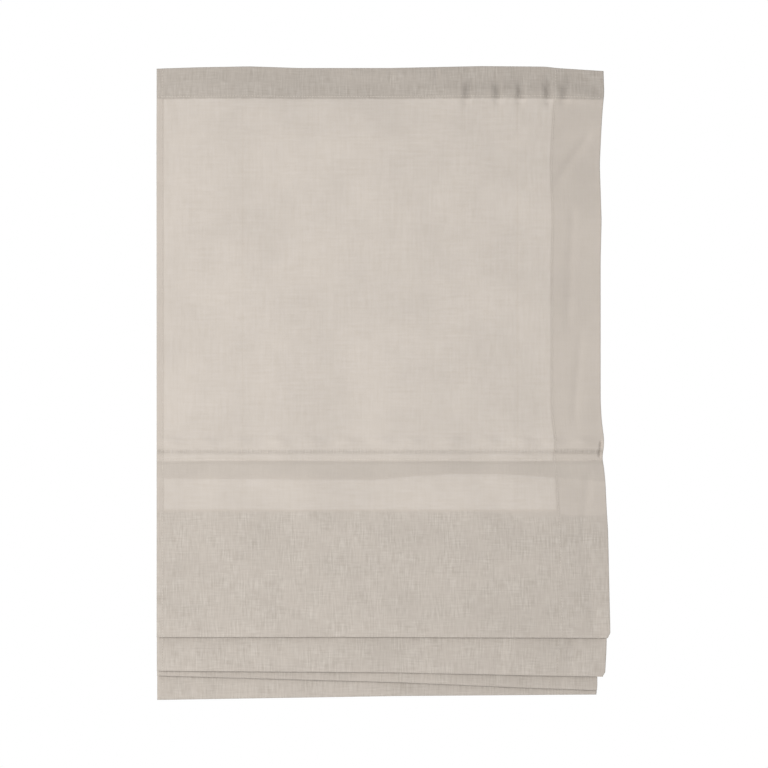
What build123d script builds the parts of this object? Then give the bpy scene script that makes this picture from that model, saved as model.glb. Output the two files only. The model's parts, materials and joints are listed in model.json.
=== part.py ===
"""Roman blind, partly raised, hung from a headrail on two wall brackets. Millimetres.

+X is to the right, -Y is out into the room and +Z is up. The origin is on the wall, at the
middle of the four bracket screws. The cloth hangs from a hook and loop tape on the rail. It
carries four rods in pockets, and the three folds between them hang in front of the rods.
"""
from build123d import *
import os

# Cloth
blind_w = 536.0  # finished width
cloth_t = 1.0  # thickness with its hems and slack
top_z = 20.0  # top edge above the middle of the screws
header_drop = 38.0  # depth of the doubled band at the top
first_drop = 472.0  # top edge to the seam that rod 1 hangs from
pocket_hang = 12.0  # that seam down to rod 1
rod_spacing = 365.0  # cloth from that seam to rod 2, and from each rod to the next
skirt_drop = 190.5  # rod 4 to the bottom edge
hem_drop = 40.0  # depth of the bottom hem
fold_pitch = 2.0  # from one layer to the next round a fold's bottom
header_pitch = 1.4  # from the turned header to the front of the cloth

# Rods and where they hang while the blind is raised this far
rod_r = 2.0
rod_inset = 9.0  # end of a rod inside the side edge
pocket_gap = 0.3  # between a rod and its pocket
slack_drop = 49.0  # rod 1 to rod 2
stack_pitch = 15.0  # rod 2 to rod 3, and rod 3 to rod 4

# Bottom bar
bar_t = 3.0
bar_h = 20.0
bar_gap = 0.3  # between the bar and its hem

# Headrail, an upright channel with two lips along its open top
rail_d = 25.0
rail_h = 28.0
rail_wall = 1.2
rail_lip = 3.0
rail_inset = 6.0  # end of the rail inside the side edge
rail_off_wall = 10.0
tape_h = 20.0
tape_t = 1.2
cap_t = 2.0
cap_plug = 8.0
cap_gap = 0.1

# Wall brackets and their turning latches
bracket_x = 200.0  # from the middle to each bracket
bracket_w = 24.0
bracket_t = 1.5
plate_h = 32.0
screw_r = 2.25
screw_pitch = 20.0
bracket_gap = 0.1  # between the arm and the rail
latch_t = 1.5
latch_w = 9.0
latch_wall_gap = 1.3  # between the ends of the tongue and the walls of the rail
latch_shaft_r = 3.0
latch_lever = 12.0
running_gap = 0.05  # radial, on every pin and shaft
latch_gap = 0.1  # above and below the arm

# Lift cords, their guides, rings and stops
cord_r = 0.6
cord_x = 165.0  # from the middle to each cord
lane_pitch = 7.0  # between the two cords inside the rail
guide_l = 16.0
guide_w = 8.0
guide_bend_r = 5.0
guide_bore_r = 1.8
guide_spigot_r = 3.9
guide_rise = 8.0  # floor of the rail to the top of the guide's block
guide_gap = 0.1
cord_gap = 0.3  # between a cord and what it bends round
leave_drop = 12.0  # rail to where a cord starts to lean towards its rings
ring_r = 4.2
ring_wire_r = 0.8
ring_gap = 0.3  # between a ring and the pocket it is sewn to
stop_r = 3.5
stop_h = 9.0
stop_drop = 6.0  # rod 4 to the top of a cord stop
lean_arc_r = 60.0
stack_arc_r = 20.0
stop_arc_r = 8.0

# Cord lock at the left end of the rail
lock_x = -230.0  # axis of the roller
lock_w = 20.0
lock_wall = 2.0
lock_front = 9.0  # roller axis to the right end of the lock
lock_back = 19.0  # roller axis to the left end of the lock
lock_h = 18.0
lock_pin_r = 1.25
roller_r = 4.0
exit_w = 3.0
pawl_hub_r = 2.6
pawl_reach = 7.0
pawl_tip_h = 5.0
pawl_off = 13.0  # roller axis to pawl axis
pawl_rise = 2.0  # roller axis up to pawl axis
side_gap = 0.2  # at each end of the roller and the pawl

# Places that follow from the sizes above
rail_l = blind_w - 2 * rail_inset - 2 * cap_t
rail_y = -rail_off_wall - rail_d / 2
rail_top = plate_h / 2 - bracket_t - bracket_gap
rail_low = rail_top - rail_h
rail_floor = rail_low + rail_wall
rail_front = rail_y - rail_d / 2
header_y = rail_front - 2 * tape_t - cloth_t / 2
panel_y = header_y - header_pitch
pocket_r = rod_r + pocket_gap + cloth_t / 2  # to the middle of the cloth round a rod
rod_l = blind_w - 2 * rod_inset
seam_z = top_z - first_drop
rod_1_z = seam_z - pocket_hang
rod_2_z = rod_1_z - slack_drop
rod_zs = [rod_1_z, rod_2_z, rod_2_z - stack_pitch, rod_2_z - 2 * stack_pitch]
fold_step = fold_pitch + 2 * pocket_r
front_ys = [panel_y + k * fold_step for k in range(4)]  # front layer below each rod
pocket_ys = [panel_y + pocket_r] + [y - pocket_r for y in front_ys[1:]]
ring_reach = pocket_r + cloth_t / 2 + ring_gap + ring_r + ring_wire_r
ring_ys = [y + ring_reach for y in pocket_ys]
bottom_z = rod_zs[3] - skirt_drop
hem_pitch = cloth_t + bar_t + 2 * bar_gap
bar_y = front_ys[3] + hem_pitch / 2
bar_z = bottom_z + cloth_t + bar_gap + bar_h / 2
guide_z = rail_floor + guide_rise
cord_z = guide_z + guide_bend_r
roller_bend_r = roller_r + cord_gap + cord_r
roller_z = cord_z - roller_bend_r
exit_x = lock_x - roller_bend_r
pawl_x = lock_x - pawl_off
pawl_z = roller_z + pawl_rise
lane_ys = {"left": rail_y + lane_pitch / 2, "right": rail_y - lane_pitch / 2}
sides = {"left": -1, "right": 1}


def layer(y, low, high):
    """Cut through one hanging layer of cloth."""
    return Pos(y, (low + high) / 2) * Rectangle(cloth_t, high - low)


def turn(y_a, y_b, z, over):
    """Half ring of cloth between two layers: over a top edge, or round a fold's bottom."""
    mid_r = abs(y_b - y_a) / 2
    outer_r = mid_r + cloth_t / 2
    ring = Circle(outer_r) - Circle(mid_r - cloth_t / 2)
    side = 1 if over else -1
    half = ring & Pos(0, side * outer_r / 2) * Rectangle(2 * outer_r, outer_r)
    return Pos((y_a + y_b) / 2, z) * half


def pocket(y, z):
    """Tunnel of cloth round a rod."""
    return Pos(y, z) * (Circle(pocket_r + cloth_t / 2) - Circle(pocket_r - cloth_t / 2))


def fold_bottom(k):
    """Height of the turn before rod k + 1, which shares out the cloth from the seam or rod above."""
    above = seam_z if k == 0 else rod_zs[k]
    return (above + rod_zs[k + 1] + fold_pitch - rod_spacing) / 2


def cloth():
    """The whole cloth in one piece: header, panel, three folds, skirt and bottom hem."""
    over_z = top_z - header_pitch / 2 - cloth_t / 2
    profile = layer(header_y, top_z - header_drop, over_z)
    profile += turn(header_y, panel_y, over_z, True)
    profile += layer(panel_y, rod_zs[0], over_z)
    for k in range(3):
        low = fold_bottom(k) + fold_pitch / 2
        back_y = front_ys[k] + fold_pitch
        profile += layer(front_ys[k], low, rod_zs[k])
        profile += turn(front_ys[k], back_y, low, False)
        profile += layer(back_y, low, rod_zs[k + 1])
    for y, z in zip(pocket_ys, rod_zs):
        profile += pocket(y, z)
    skirt_y = front_ys[3]
    profile += layer(skirt_y, bottom_z, rod_zs[3])
    profile += layer(skirt_y + hem_pitch, bottom_z, bottom_z + hem_drop)
    for z in (bottom_z + cloth_t / 2, bottom_z + hem_drop - cloth_t / 2):
        profile += Pos(bar_y, z) * Rectangle(hem_pitch, cloth_t)
    return extrude(Plane.YZ * profile, blind_w / 2, both=True)


def rod(k):
    """Round rod in pocket k."""
    return Pos(0, pocket_ys[k], rod_zs[k]) * Rot(0, 90, 0) * Cylinder(rod_r, rod_l)


def rings(k):
    """Two plain rings sewn behind pocket k, one on each cord."""
    ring = Torus(ring_r, ring_wire_r)
    return Compound([Pos(side * cord_x, ring_ys[k], rod_zs[k]) * ring for side in sides.values()])


def weight_bar():
    """Flat bar in the bottom hem."""
    return Pos(0, bar_y, bar_z) * fillet(Box(rod_l, bar_t, bar_h).edges().filter_by(Axis.X), 0.8)


def headrail():
    """Channel with its lips, the holes of the two guides and the slot of the lock."""
    profile = Rectangle(rail_d, rail_h)
    profile -= Rectangle(rail_d - 2 * rail_wall, rail_h - 2 * rail_wall)
    mouth = rail_d - 2 * rail_wall - 2 * rail_lip
    profile -= Pos(0, rail_h / 2 - rail_wall / 2) * Rectangle(mouth, rail_wall)
    rail = Pos(0, rail_y, rail_low + rail_h / 2) * extrude(Plane.YZ * profile, rail_l / 2, both=True)
    for name, side in sides.items():
        rail -= Pos(side * cord_x, lane_ys[name], rail_low) * Cylinder(guide_spigot_r + guide_gap, 4 * rail_wall)
    return rail - Pos(exit_x, rail_y, rail_low) * Box(exit_w, lane_pitch + exit_w, 4 * rail_wall)


def end_cap(side):
    """Plate over one end of the rail, with a plug inside it."""
    plate = Box(cap_t, rail_d, rail_h)
    plate = fillet(plate.edges().filter_by(Axis.X), 1.0)
    plug = Box(cap_plug, rail_d - 2 * rail_wall - 2 * cap_gap, rail_h - 2 * rail_wall - 2 * cap_gap)
    cap = plate + Pos(-side * (cap_t + cap_plug) / 2, 0, 0) * plug
    return Pos(side * (rail_l + cap_t) / 2, rail_y, rail_low + rail_h / 2) * cap


def tape(layer_index):
    """Hook tape on the front of the rail, or loop tape on the back of the header."""
    y = rail_front - (layer_index + 0.5) * tape_t
    return Pos(0, y, rail_low + rail_h / 2) * Box(rail_l, tape_t, tape_h)


def wall_bracket(side):
    """Bent plate: screwed to the wall below, with an arm that lies on top of the rail."""
    arm_l = rail_off_wall + rail_d - rail_wall
    plate = Pos(0, -bracket_t / 2, 0) * Box(bracket_w, bracket_t, plate_h)
    arm = Pos(0, -arm_l / 2, (plate_h - bracket_t) / 2) * Box(bracket_w, arm_l, bracket_t)
    bracket = fillet((plate + arm).edges().filter_by(Axis.X).sort_by(Axis.Z)[-4:-2].sort_by(Axis.Y)[-1], 1.2)
    for z in (-screw_pitch / 2, screw_pitch / 2):
        bracket -= Pos(0, 0, z) * Rot(90, 0, 0) * Cylinder(screw_r, 4 * bracket_t)
    bracket -= Pos(0, rail_y, plate_h / 2) * Cylinder(latch_shaft_r + running_gap, 4 * bracket_t)
    return Pos(side * bracket_x, 0, 0) * bracket


def bracket_latch(side):
    """Turning latch: a tongue under the lips, a shaft in the arm and a lever above it."""
    tongue_r = rail_d / 2 - rail_wall - latch_wall_gap
    tongue_top = rail_top - rail_wall - latch_gap
    tongue = Cylinder(tongue_r, latch_t) & Box(latch_w, 3 * tongue_r, latch_t)
    lever_low = plate_h / 2 + latch_gap
    lever = Pos(side * latch_lever / 2, 0) * Rectangle(latch_lever, 2 * latch_shaft_r)
    lever += Circle(latch_shaft_r) + Pos(side * latch_lever, 0) * Circle(latch_shaft_r)
    latch = Pos(0, 0, tongue_top - latch_t / 2) * tongue
    latch += Pos(0, 0, (tongue_top + lever_low) / 2) * Cylinder(latch_shaft_r, lever_low - tongue_top)
    latch += Pos(0, 0, lever_low) * extrude(lever, latch_t)
    return Pos(side * bracket_x, rail_y, 0) * latch


def cord_guide(name):
    """Guide through the floor of the rail, with a rounded saddle where the cord turns left."""
    saddle_r = guide_bend_r - cord_r - cord_gap
    block = Pos(0, 0, guide_rise / 2) * Box(guide_l, guide_w, guide_rise)
    spigot_l = 2 * rail_wall
    block += Pos(0, 0, -spigot_l / 2) * Cylinder(guide_spigot_r, spigot_l)
    saddle = Rot(90, 0, 0) * Cylinder(saddle_r, guide_w)
    upper = Pos(0, 0, saddle_r / 2) * Box(2 * saddle_r, guide_w, saddle_r)
    block += Pos(-guide_bend_r, 0, guide_rise) * (saddle & upper)
    block -= Cylinder(guide_bore_r, 4 * guide_rise)
    return Pos(sides[name] * cord_x, lane_ys[name], rail_floor) * block


def lock_body():
    """Open box in the rail: a floor with the slot for the cords, and a cheek at each side."""
    length = lock_front + lock_back
    mid_x = lock_x + (lock_front - lock_back) / 2
    body = Box(length, lock_w, lock_h)
    body -= Pos(0, 0, lock_wall) * Box(2 * length, lock_w - 2 * lock_wall, lock_h)
    body = Pos(mid_x, rail_y, rail_floor + lock_h / 2) * body
    body -= Pos(exit_x, rail_y, rail_floor) * Box(exit_w, lane_pitch + exit_w, 4 * lock_wall)
    for x, z in ((lock_x, roller_z), (pawl_x, pawl_z)):
        body -= Pos(x, rail_y, z) * Rot(90, 0, 0) * Cylinder(lock_pin_r + running_gap, 2 * lock_w)
    return body


def lock_pins():
    """Pins of the roller and of the pawl, across both cheeks."""
    pin = Rot(90, 0, 0) * Cylinder(lock_pin_r, lock_w)
    return Compound([Pos(lock_x, rail_y, roller_z) * pin, Pos(pawl_x, rail_y, pawl_z) * pin])


def lock_roller():
    """Roller that the cords turn down over."""
    length = lock_w - 2 * lock_wall - 2 * side_gap
    tube = Cylinder(roller_r, length) - Cylinder(lock_pin_r + running_gap, length)
    return Pos(lock_x, rail_y, roller_z) * Rot(90, 0, 0) * tube


def lock_pawl():
    """Pawl that pinches the cords: a hub and a wedge whose tip lies close to them."""
    length = lock_w - 2 * lock_wall - 2 * side_gap
    face_x = exit_x - cord_r - cord_gap - pawl_x
    wedge = Polygon((0, pawl_hub_r), (face_x, 0), (face_x, -pawl_tip_h), (0, -pawl_hub_r), align=None)
    section = Circle(pawl_hub_r) + wedge - Circle(lock_pin_r + running_gap)
    return Pos(pawl_x, rail_y, pawl_z) * extrude(Plane.XZ * section, length / 2, both=True)


def cord_route(name):
    """Points and bend radii of one lift cord, from the lock's slot down to its stop."""
    x = sides[name] * cord_x
    lane_y = lane_ys[name]
    points = [
        (exit_x, lane_y, rail_low),
        (exit_x, lane_y, cord_z),
        (x, lane_y, cord_z),
        (x, lane_y, rail_low - leave_drop),
        (x, ring_ys[0], rod_zs[0]),
        (x, ring_ys[1], rod_zs[1]),
        (x, ring_ys[3], rod_zs[3]),
        (x, ring_ys[3], rod_zs[3] - stop_drop),
    ]
    radii = [roller_bend_r, guide_bend_r, lean_arc_r, lean_arc_r, stack_arc_r, stop_arc_r]
    return points, radii


def lift_cord(name):
    """Round cord along its route."""
    points, radii = cord_route(name)
    path = FilletPolyline(*points, radius=radii)
    section = Plane(origin=path @ 0, z_dir=path % 0) * Circle(cord_r)
    cord = sweep(section, path=path)
    print(name, "cord radii", radii, "length", round(path.length, 1),
          "volume", round(cord.volume, 2), "section x length", round(section.area * path.length, 2))
    return cord


def cord_stops():
    """Bead under each ring of rod 4, which the cord ends in."""
    bead = fillet(Cylinder(stop_r, stop_h).edges(), 1.2)
    z = rod_zs[3] - stop_drop - stop_h / 2
    return Compound([Pos(side * cord_x, ring_ys[3], z) * bead for side in sides.values()])


def build():
    """Every piece by name."""
    parts = {
        "cloth": cloth(),
        "headrail": headrail(),
        "hook_tape": tape(0),
        "loop_tape": tape(1),
        "weight_bar": weight_bar(),
        "cord_stops": cord_stops(),
        "lock_body": lock_body(),
        "lock_pins": lock_pins(),
        "lock_roller": lock_roller(),
        "lock_pawl": lock_pawl(),
    }
    for name, side in sides.items():
        parts[f"end_cap_{name}"] = end_cap(side)
        parts[f"wall_bracket_{name}"] = wall_bracket(side)
        parts[f"bracket_latch_{name}"] = bracket_latch(side)
        parts[f"cord_guide_{name}"] = cord_guide(name)
        parts[f"lift_cord_{name}"] = lift_cord(name)
    for k in range(4):
        parts[f"rod_{k + 1}"] = rod(k)
        parts[f"rod_{k + 1}_rings"] = rings(k)
    return parts


os.makedirs("parts", exist_ok=True)
for part_name, shape in build().items():
    export_step(shape, f"parts/{part_name}.step")
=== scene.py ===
# %% [markdown]
# # A roman blind in undyed linen
# A roman blind is one long piece of cloth with rods in pockets across its back. Cords lift the
# lowest rod, which gathers the rods above it, and the cloth between them hangs in deep folds in
# front. This lesson loads the measured parts of the blind, then makes what those plain solids
# leave out: the thin cloth with its hems and creases, the stitches, the cords, and a real finish
# for every piece. The frame gives every position, so nothing is placed by eye.

# %% Load the frame
import json
import math

import bpy
import numpy as np
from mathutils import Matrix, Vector


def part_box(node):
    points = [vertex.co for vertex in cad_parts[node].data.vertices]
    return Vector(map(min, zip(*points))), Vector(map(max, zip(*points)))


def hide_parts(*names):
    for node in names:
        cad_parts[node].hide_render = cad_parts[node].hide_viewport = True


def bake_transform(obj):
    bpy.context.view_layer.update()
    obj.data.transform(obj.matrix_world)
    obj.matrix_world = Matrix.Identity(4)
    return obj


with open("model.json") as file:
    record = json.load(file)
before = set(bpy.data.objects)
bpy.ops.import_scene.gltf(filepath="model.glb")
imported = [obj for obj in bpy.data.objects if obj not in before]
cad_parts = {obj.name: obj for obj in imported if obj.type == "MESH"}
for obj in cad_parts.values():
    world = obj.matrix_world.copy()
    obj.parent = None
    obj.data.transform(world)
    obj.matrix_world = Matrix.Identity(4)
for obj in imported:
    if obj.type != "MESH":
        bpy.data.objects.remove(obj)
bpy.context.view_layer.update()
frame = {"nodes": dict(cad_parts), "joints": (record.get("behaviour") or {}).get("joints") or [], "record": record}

MM = 0.001

# %% [markdown]
# The blind's own sizes come from the boxes of its parts. `middle` gives the middle of a part, and
# the cloth's box gives its width, its top edge and its front face.

# %% Measure the parts
CAD_CLOTH_T = 1.0 * MM


def middle(name):
    low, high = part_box(name)
    return (low + high) / 2


cloth_low, cloth_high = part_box("cloth")
top_edge = cloth_high.z
front_y = cloth_low.y + CAD_CLOTH_T / 2
half_w = cloth_high.x
rods = [middle(f"rod_{k}") for k in (1, 2, 3, 4)]
print("width", round(2 * half_w, 3), "rod heights", [round(r.z, 3) for r in rods])

# %% [markdown]
# ## Camera
# A flat, hanging thing reads best square on, through a long lens from far away: the edges stay
# straight, and no layer looks smaller than the one in front of it.

# %% Camera
VIEW_W = 0.9216
CAMERA_FAR = 9.0
CAMERA_X = 0.0048
CAMERA_DROP = 0.3798


def add_object(name, data):
    """Puts a camera, a lamp, a curve or a mesh into the scene."""
    made = bpy.data.objects.new(name, data)
    bpy.context.scene.collection.objects.link(made)
    return made


camera_data = bpy.data.cameras.new("camera")
camera_data.sensor_width = 36.0
camera_data.lens = camera_data.sensor_width * CAMERA_FAR / VIEW_W
camera = add_object("camera", camera_data)
camera.location = (CAMERA_X, front_y - CAMERA_FAR, top_edge - CAMERA_DROP)
camera.rotation_euler = (math.radians(90), 0, 0)
bpy.context.scene.camera = camera
print("lens", round(camera_data.lens, 1), "mm")


# %% [markdown]
# ## Lift cords
# Each lift cord goes into the rail at the lock, along the rail, out through a guide and down
# through the rings on the rods to a stop under the lowest. It is 1.2 mm braided polyester, and the
# weight of the rods pulls it straight. The route is a NURBS curve through a few points: one near
# each end of the long run in the rail, where the cord turns sharply. The mesh is a tube
# that follows points read from that curve.

# %% Route of a lift cord
CORD_R = 0.6 * MM
CORD_SIDES = 8


def smooth_line(name, points):
    """Reads points along the NURBS curve that has these control points."""
    curve = bpy.data.curves.new(name, "CURVE")
    curve.dimensions = "3D"
    curve.resolution_u = 32
    spline = curve.splines.new("NURBS")
    spline.points.add(len(points) - 1)
    for control, place in zip(spline.points, points):
        control.co = (*place, 1)
    spline.order_u = 3
    spline.use_endpoint_u = True
    holder = add_object(name, curve)
    bpy.context.view_layer.update()
    line = bpy.data.meshes.new_from_object(holder)
    read = np.array([v.co for v in line.vertices])
    bpy.data.objects.remove(holder)
    bpy.data.meshes.remove(line)
    return read


def lengths(line):
    """How far along a line of points each of them is."""
    return np.concatenate([[0], np.cumsum(np.linalg.norm(np.diff(line, axis=0), axis=1))])


def cord_route(x, lane):
    slot, turn, side = -0.2349, 0.0142, math.copysign(1, x)
    return [(slot, lane, -0.0136), (slot, lane, 0.0006), (slot + turn, lane, 0.0006),
            (x - 0.0262, lane, 0.0006), (x, lane, 0.0006), (x, lane, -0.0256),
            (x, -0.0279, -0.464), (x, -0.0259, -0.513), (x, -0.0107, -0.543), (x, -0.0107, -0.549)]


lines = {"left": smooth_line("left_line", cord_route(-0.165, -0.019)),
         "right": smooth_line("right_line", cord_route(0.165, -0.026))}
for side, line in lines.items():
    print(side, "cord", round(lengths(line)[-1], 3), "m")


# %% [markdown]
# The cord moves with whatever it runs through, so it is cut at the first rod's ring, into a part
# above and a part below.

# %% Tubes along the cords
def split_at(line, z):
    """Cuts a falling line at a height, with a point of each part at the cut."""
    k = int(np.argmax(line[:, 2] < z))
    cut = line[k - 1] + (line[k] - line[k - 1]) * (line[k - 1][2] - z) / (line[k - 1][2] - line[k][2])
    return np.vstack([line[:k], cut]), np.vstack([cut, line[k:]])


def unit(arrows):
    return arrows / np.maximum(np.linalg.norm(arrows, axis=1), 1e-9)[:, None]


def tube(name, line, radius, sides):
    """Closed tube round a line, with a UV map of turns across and metres along."""
    aim = unit(np.gradient(line, axis=0))
    out = unit(np.cross(aim, (0.0, 1.0, 0.0)))
    up = np.cross(out, aim)
    angle = np.linspace(0, 2 * math.pi, sides, endpoint=False)
    ring = out[:, None] * np.cos(angle)[:, None] + up[:, None] * np.sin(angle)[:, None]
    places = (line[:, None] + radius * ring).reshape(-1, 3)
    count, run = len(line), lengths(line)
    faces, corners = [], []
    for i in range(count - 1):
        for j in range(sides):
            k = (j + 1) % sides
            faces.append((i * sides + j, i * sides + k, (i + 1) * sides + k, (i + 1) * sides + j))
            u0, u1 = j / sides, (j + 1) / sides
            corners += [(u0, run[i]), (u1, run[i]), (u1, run[i + 1]), (u0, run[i + 1])]
    faces += [tuple(range(sides))[::-1], tuple((count - 1) * sides + j for j in range(sides))]
    corners += [(0, 0)] * sides + [(0, run[-1])] * sides
    mesh = bpy.data.meshes.new(name)
    mesh.from_pydata(places.tolist(), [], faces)
    uv = mesh.uv_layers.new(name="lay")
    uv.data.foreach_set("uv", np.array(corners, float).ravel())
    mesh.shade_smooth()
    return add_object(name, mesh)


def share_out(piece, above_body, below_body, shares):
    """Bakes the piece's placement into its mesh."""
    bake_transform(piece)


DROP_SHARES = [0.0] + [c["ratio"] for c in frame["record"]["behaviour"]["couplings"]] + [1.0]
rail_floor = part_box("cord_guide_left")[0].z
rod_z = [r.z for r in rods]
cord_pieces = []
for side, line in lines.items():
    upper_line, lower_line = split_at(line, rod_z[0])
    upper = tube(f"lift_cord_{side}_upper", upper_line, CORD_R, CORD_SIDES)
    lower = tube(f"lift_cord_{side}_lower", lower_line, CORD_R, CORD_SIDES)
    for piece in (upper, lower):
        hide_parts(f"lift_cord_{side}")
        cord_pieces.append(piece)
    heights = np.repeat(upper_line[:, 2], CORD_SIDES)
    share_out(upper, "blind", "rod_1_line", np.interp(-heights, [-rail_floor, -rod_z[0]], [0, 1]))
    heights = np.repeat(lower_line[:, 2], CORD_SIDES)
    share_out(lower, "rod_1_line", "rod_4_line", np.interp(-heights, [-z for z in rod_z], DROP_SHARES))
print("cord pieces", [p.name for p in cord_pieces])


# %% [markdown]
# ## Light
# The blind is thin cloth in a white studio: light comes through it from behind as well as onto its
# face. A bright, even world does that, and looks pure white behind the blind. A soft lamp in front,
# to the left and at the blind's own height, reaches in under the folds and still gives the creases
# their shade. A second one behind lights the rail and the cords.

# %% World and lamps
def node(tree, kind, inputs=None, **settings):
    """Adds a node. inputs maps a socket's name or number to a value, or to another node's output."""
    made = tree.nodes.new(kind)
    for key, value in settings.items():
        setattr(made, key, value)
    for key, value in (inputs or {}).items():
        if isinstance(value, bpy.types.NodeSocket):
            tree.links.new(value, made.inputs[key])
        else:
            made.inputs[key].default_value = value
    return made


GLOW = 0.46
world = bpy.data.worlds.new("white_studio")
bpy.context.scene.world = world
world.use_nodes = True
world.node_tree.nodes.clear()
seen = node(world.node_tree, "ShaderNodeBackground", {"Color": (1, 1, 1, 1), "Strength": 1.0})
glow = node(world.node_tree, "ShaderNodeBackground", {"Color": (1, 1, 1, 1), "Strength": GLOW})
rays = node(world.node_tree, "ShaderNodeLightPath")
chosen = node(world.node_tree, "ShaderNodeMixShader",
              {0: rays.outputs["Is Camera Ray"], 1: glow.outputs[0], 2: seen.outputs[0]})
node(world.node_tree, "ShaderNodeOutputWorld", {"Surface": chosen.outputs[0]})


def soft_lamp(name, place, aim, size, power):
    lamp = bpy.data.lights.new(name, "AREA")
    lamp.shape = "SQUARE"
    lamp.size = size
    lamp.energy = power
    made = add_object(name, lamp)
    made.location = place
    made.rotation_euler = (Vector(aim) - Vector(place)).to_track_quat("-Z", "Y").to_euler()


blind_middle = (0, front_y, (cloth_low.z + cloth_high.z) / 2)
soft_lamp("key_lamp", (-1.6, -3.0, -0.3), blind_middle, 0.8, 77)
soft_lamp("back_lamp", (0.9, 2.4, 0.8), blind_middle, 1.2, 60)
bpy.context.scene.view_settings.view_transform = "Standard"
print("lit by", [light.name for light in bpy.data.lights])

# %% [markdown]
# The floor is a plain pale disc well below the blind, low enough for the blind let right down.

# %% Floor
FLOOR_Z = -1.86
FLOOR_R = 2.6


def deselect():
    """Leaves edit mode and clears the selection, because an operator acts on all that is selected."""
    if bpy.context.object and bpy.context.object.mode != "OBJECT":
        bpy.ops.object.mode_set(mode="OBJECT")
    bpy.ops.object.select_all(action="DESELECT")


deselect()
bpy.ops.mesh.primitive_circle_add(vertices=96, radius=FLOOR_R, fill_type="NGON", location=(0, 0, FLOOR_Z))
floor = bpy.context.object
floor.name = "floor"
print("floor", round(cloth_low.z - FLOOR_Z, 3), "m below the raised blind")

# %% [markdown]
# ## Finishes
# Colours are written as the hex values a painter would read off a chart, and one function turns
# them into the linear numbers a shader wants. The other helpers stand for the nodes that the
# finishes share, with sizes in millimetres.


# %% Shader helpers
def linear(hex_code):
    values = [int(hex_code[i:i + 2], 16) / 255 for i in (0, 2, 4)]
    return (*[v / 12.92 if v <= 0.04045 else ((v + 0.055) / 1.055) ** 2.4 for v in values], 1)


def new_material(name):
    made = bpy.data.materials.new(name)
    made.use_nodes = True
    made.node_tree.nodes.clear()
    return made, made.node_tree


def two_tones(tree, fac, dark, light):
    """Runs from one colour to another as fac goes from 0 to 1."""
    ramp = node(tree, "ShaderNodeValToRGB", {"Fac": fac})
    ramp.color_ramp.elements[0].color = linear(dark)
    ramp.color_ramp.elements[1].color = linear(light)
    return ramp.outputs[0]


def ranged(tree, value, low, high, to_low=0.0, to_high=1.0):
    """Stretches the span from low to high onto another span."""
    return node(tree, "ShaderNodeMapRange", {"Value": value, "From Min": low, "From Max": high,
                                             "To Min": to_low, "To Max": to_high}).outputs[0]


def times(tree, a, b):
    return node(tree, "ShaderNodeMath", {0: a, 1: b}, operation="MULTIPLY").outputs[0]


def noise(tree, place, size, detail):
    """Noise with spots of one size, or of a size for each axis."""
    scale = 1.0
    if isinstance(size, tuple):
        place = node(tree, "ShaderNodeMapping",
                     {"Vector": place, "Scale": [1 / (s * MM) for s in size]}).outputs[0]
    else:
        scale = 1 / (size * MM)
    return node(tree, "ShaderNodeTexNoise", {"Vector": place, "Scale": scale, "Detail": detail}).outputs[0]


def surface(tree, tone, tones, height, strength, depth, shader):
    """Ends a material: a tone between two, and a height that stands this deep."""
    bumps = node(tree, "ShaderNodeBump", {"Height": height, "Strength": strength, "Distance": depth * MM})
    inputs = {"Base Color": two_tones(tree, tone, *tones), "Normal": bumps.outputs[0], **shader}
    body = node(tree, "ShaderNodeBsdfPrincipled", inputs)
    node(tree, "ShaderNodeOutputMaterial", {"Surface": body.outputs[0]})


# %% [markdown]
# ### Linen
# Linen is spun from flax, whose fibres are long and uneven, so each thread has thick stretches
# called slubs. Woven loosely, as for a sheer blind, it lets light through in two ways: through the
# gaps between the threads, and through the threads themselves. So the shader mixes three parts: a
# rough, slightly fuzzy face, a translucent part that shows the light behind, and a small clear
# part for the gaps. The threads run along the cloth's own width and length, so the pattern reads a
# UV map laid out in metres, and it bends with every fold. Real threads lie 0.6 mm apart, too fine
# to see at this distance, so the streaks are drawn about 1.6 mm wide, as groups of threads read.
# Where several layers lie on each other, the threads of one show through the next as fine upright
# ribs, painted in as the painted shade of the threads behind. An attribute of the mesh, `layers`,
# says where that is: 0 is a single layer, 1 is ribbed, from there to 3 a painted shade deepens, for
# the rail behind the header, the crease above the first pocket's seam and the gathers, and -1 is a
# painted highlight that makes the turned edges paler.

# %% Linen pattern
STREAK_W = 1.6
STREAK_L = 60.0
THREAD_RELIEF = 0.25
THROUGH_THREADS = 0.045
RIB_W = 1.7
RIB_L = 17.0
CLOUD = 80.0


def streaks(tree, uv, across, along, seed, detail=2.0):
    """Noise as wide and as long as these sizes in millimetres, across and along the cloth."""
    scaled = node(tree, "ShaderNodeMapping", {"Vector": uv, "Location": (seed, seed / 3, 0),
                                              "Scale": (1 / (across * MM), 1 / (along * MM), 1)})
    return node(tree, "ShaderNodeTexNoise", {"Vector": scaled.outputs[0], "Scale": 1.0, "Detail": detail,
                                             "Roughness": 0.6}, noise_dimensions="2D").outputs[0]


def weighted(tree, parts):
    """Adds (share, value) parts together."""
    total = None
    for share, value in parts:
        inputs = {0: value, 1: share} if total is None else {0: value, 1: share, 2: total}
        kind = "MULTIPLY" if total is None else "MULTIPLY_ADD"
        total = node(tree, "ShaderNodeMath", inputs, operation=kind).outputs[0]
    return total


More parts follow.
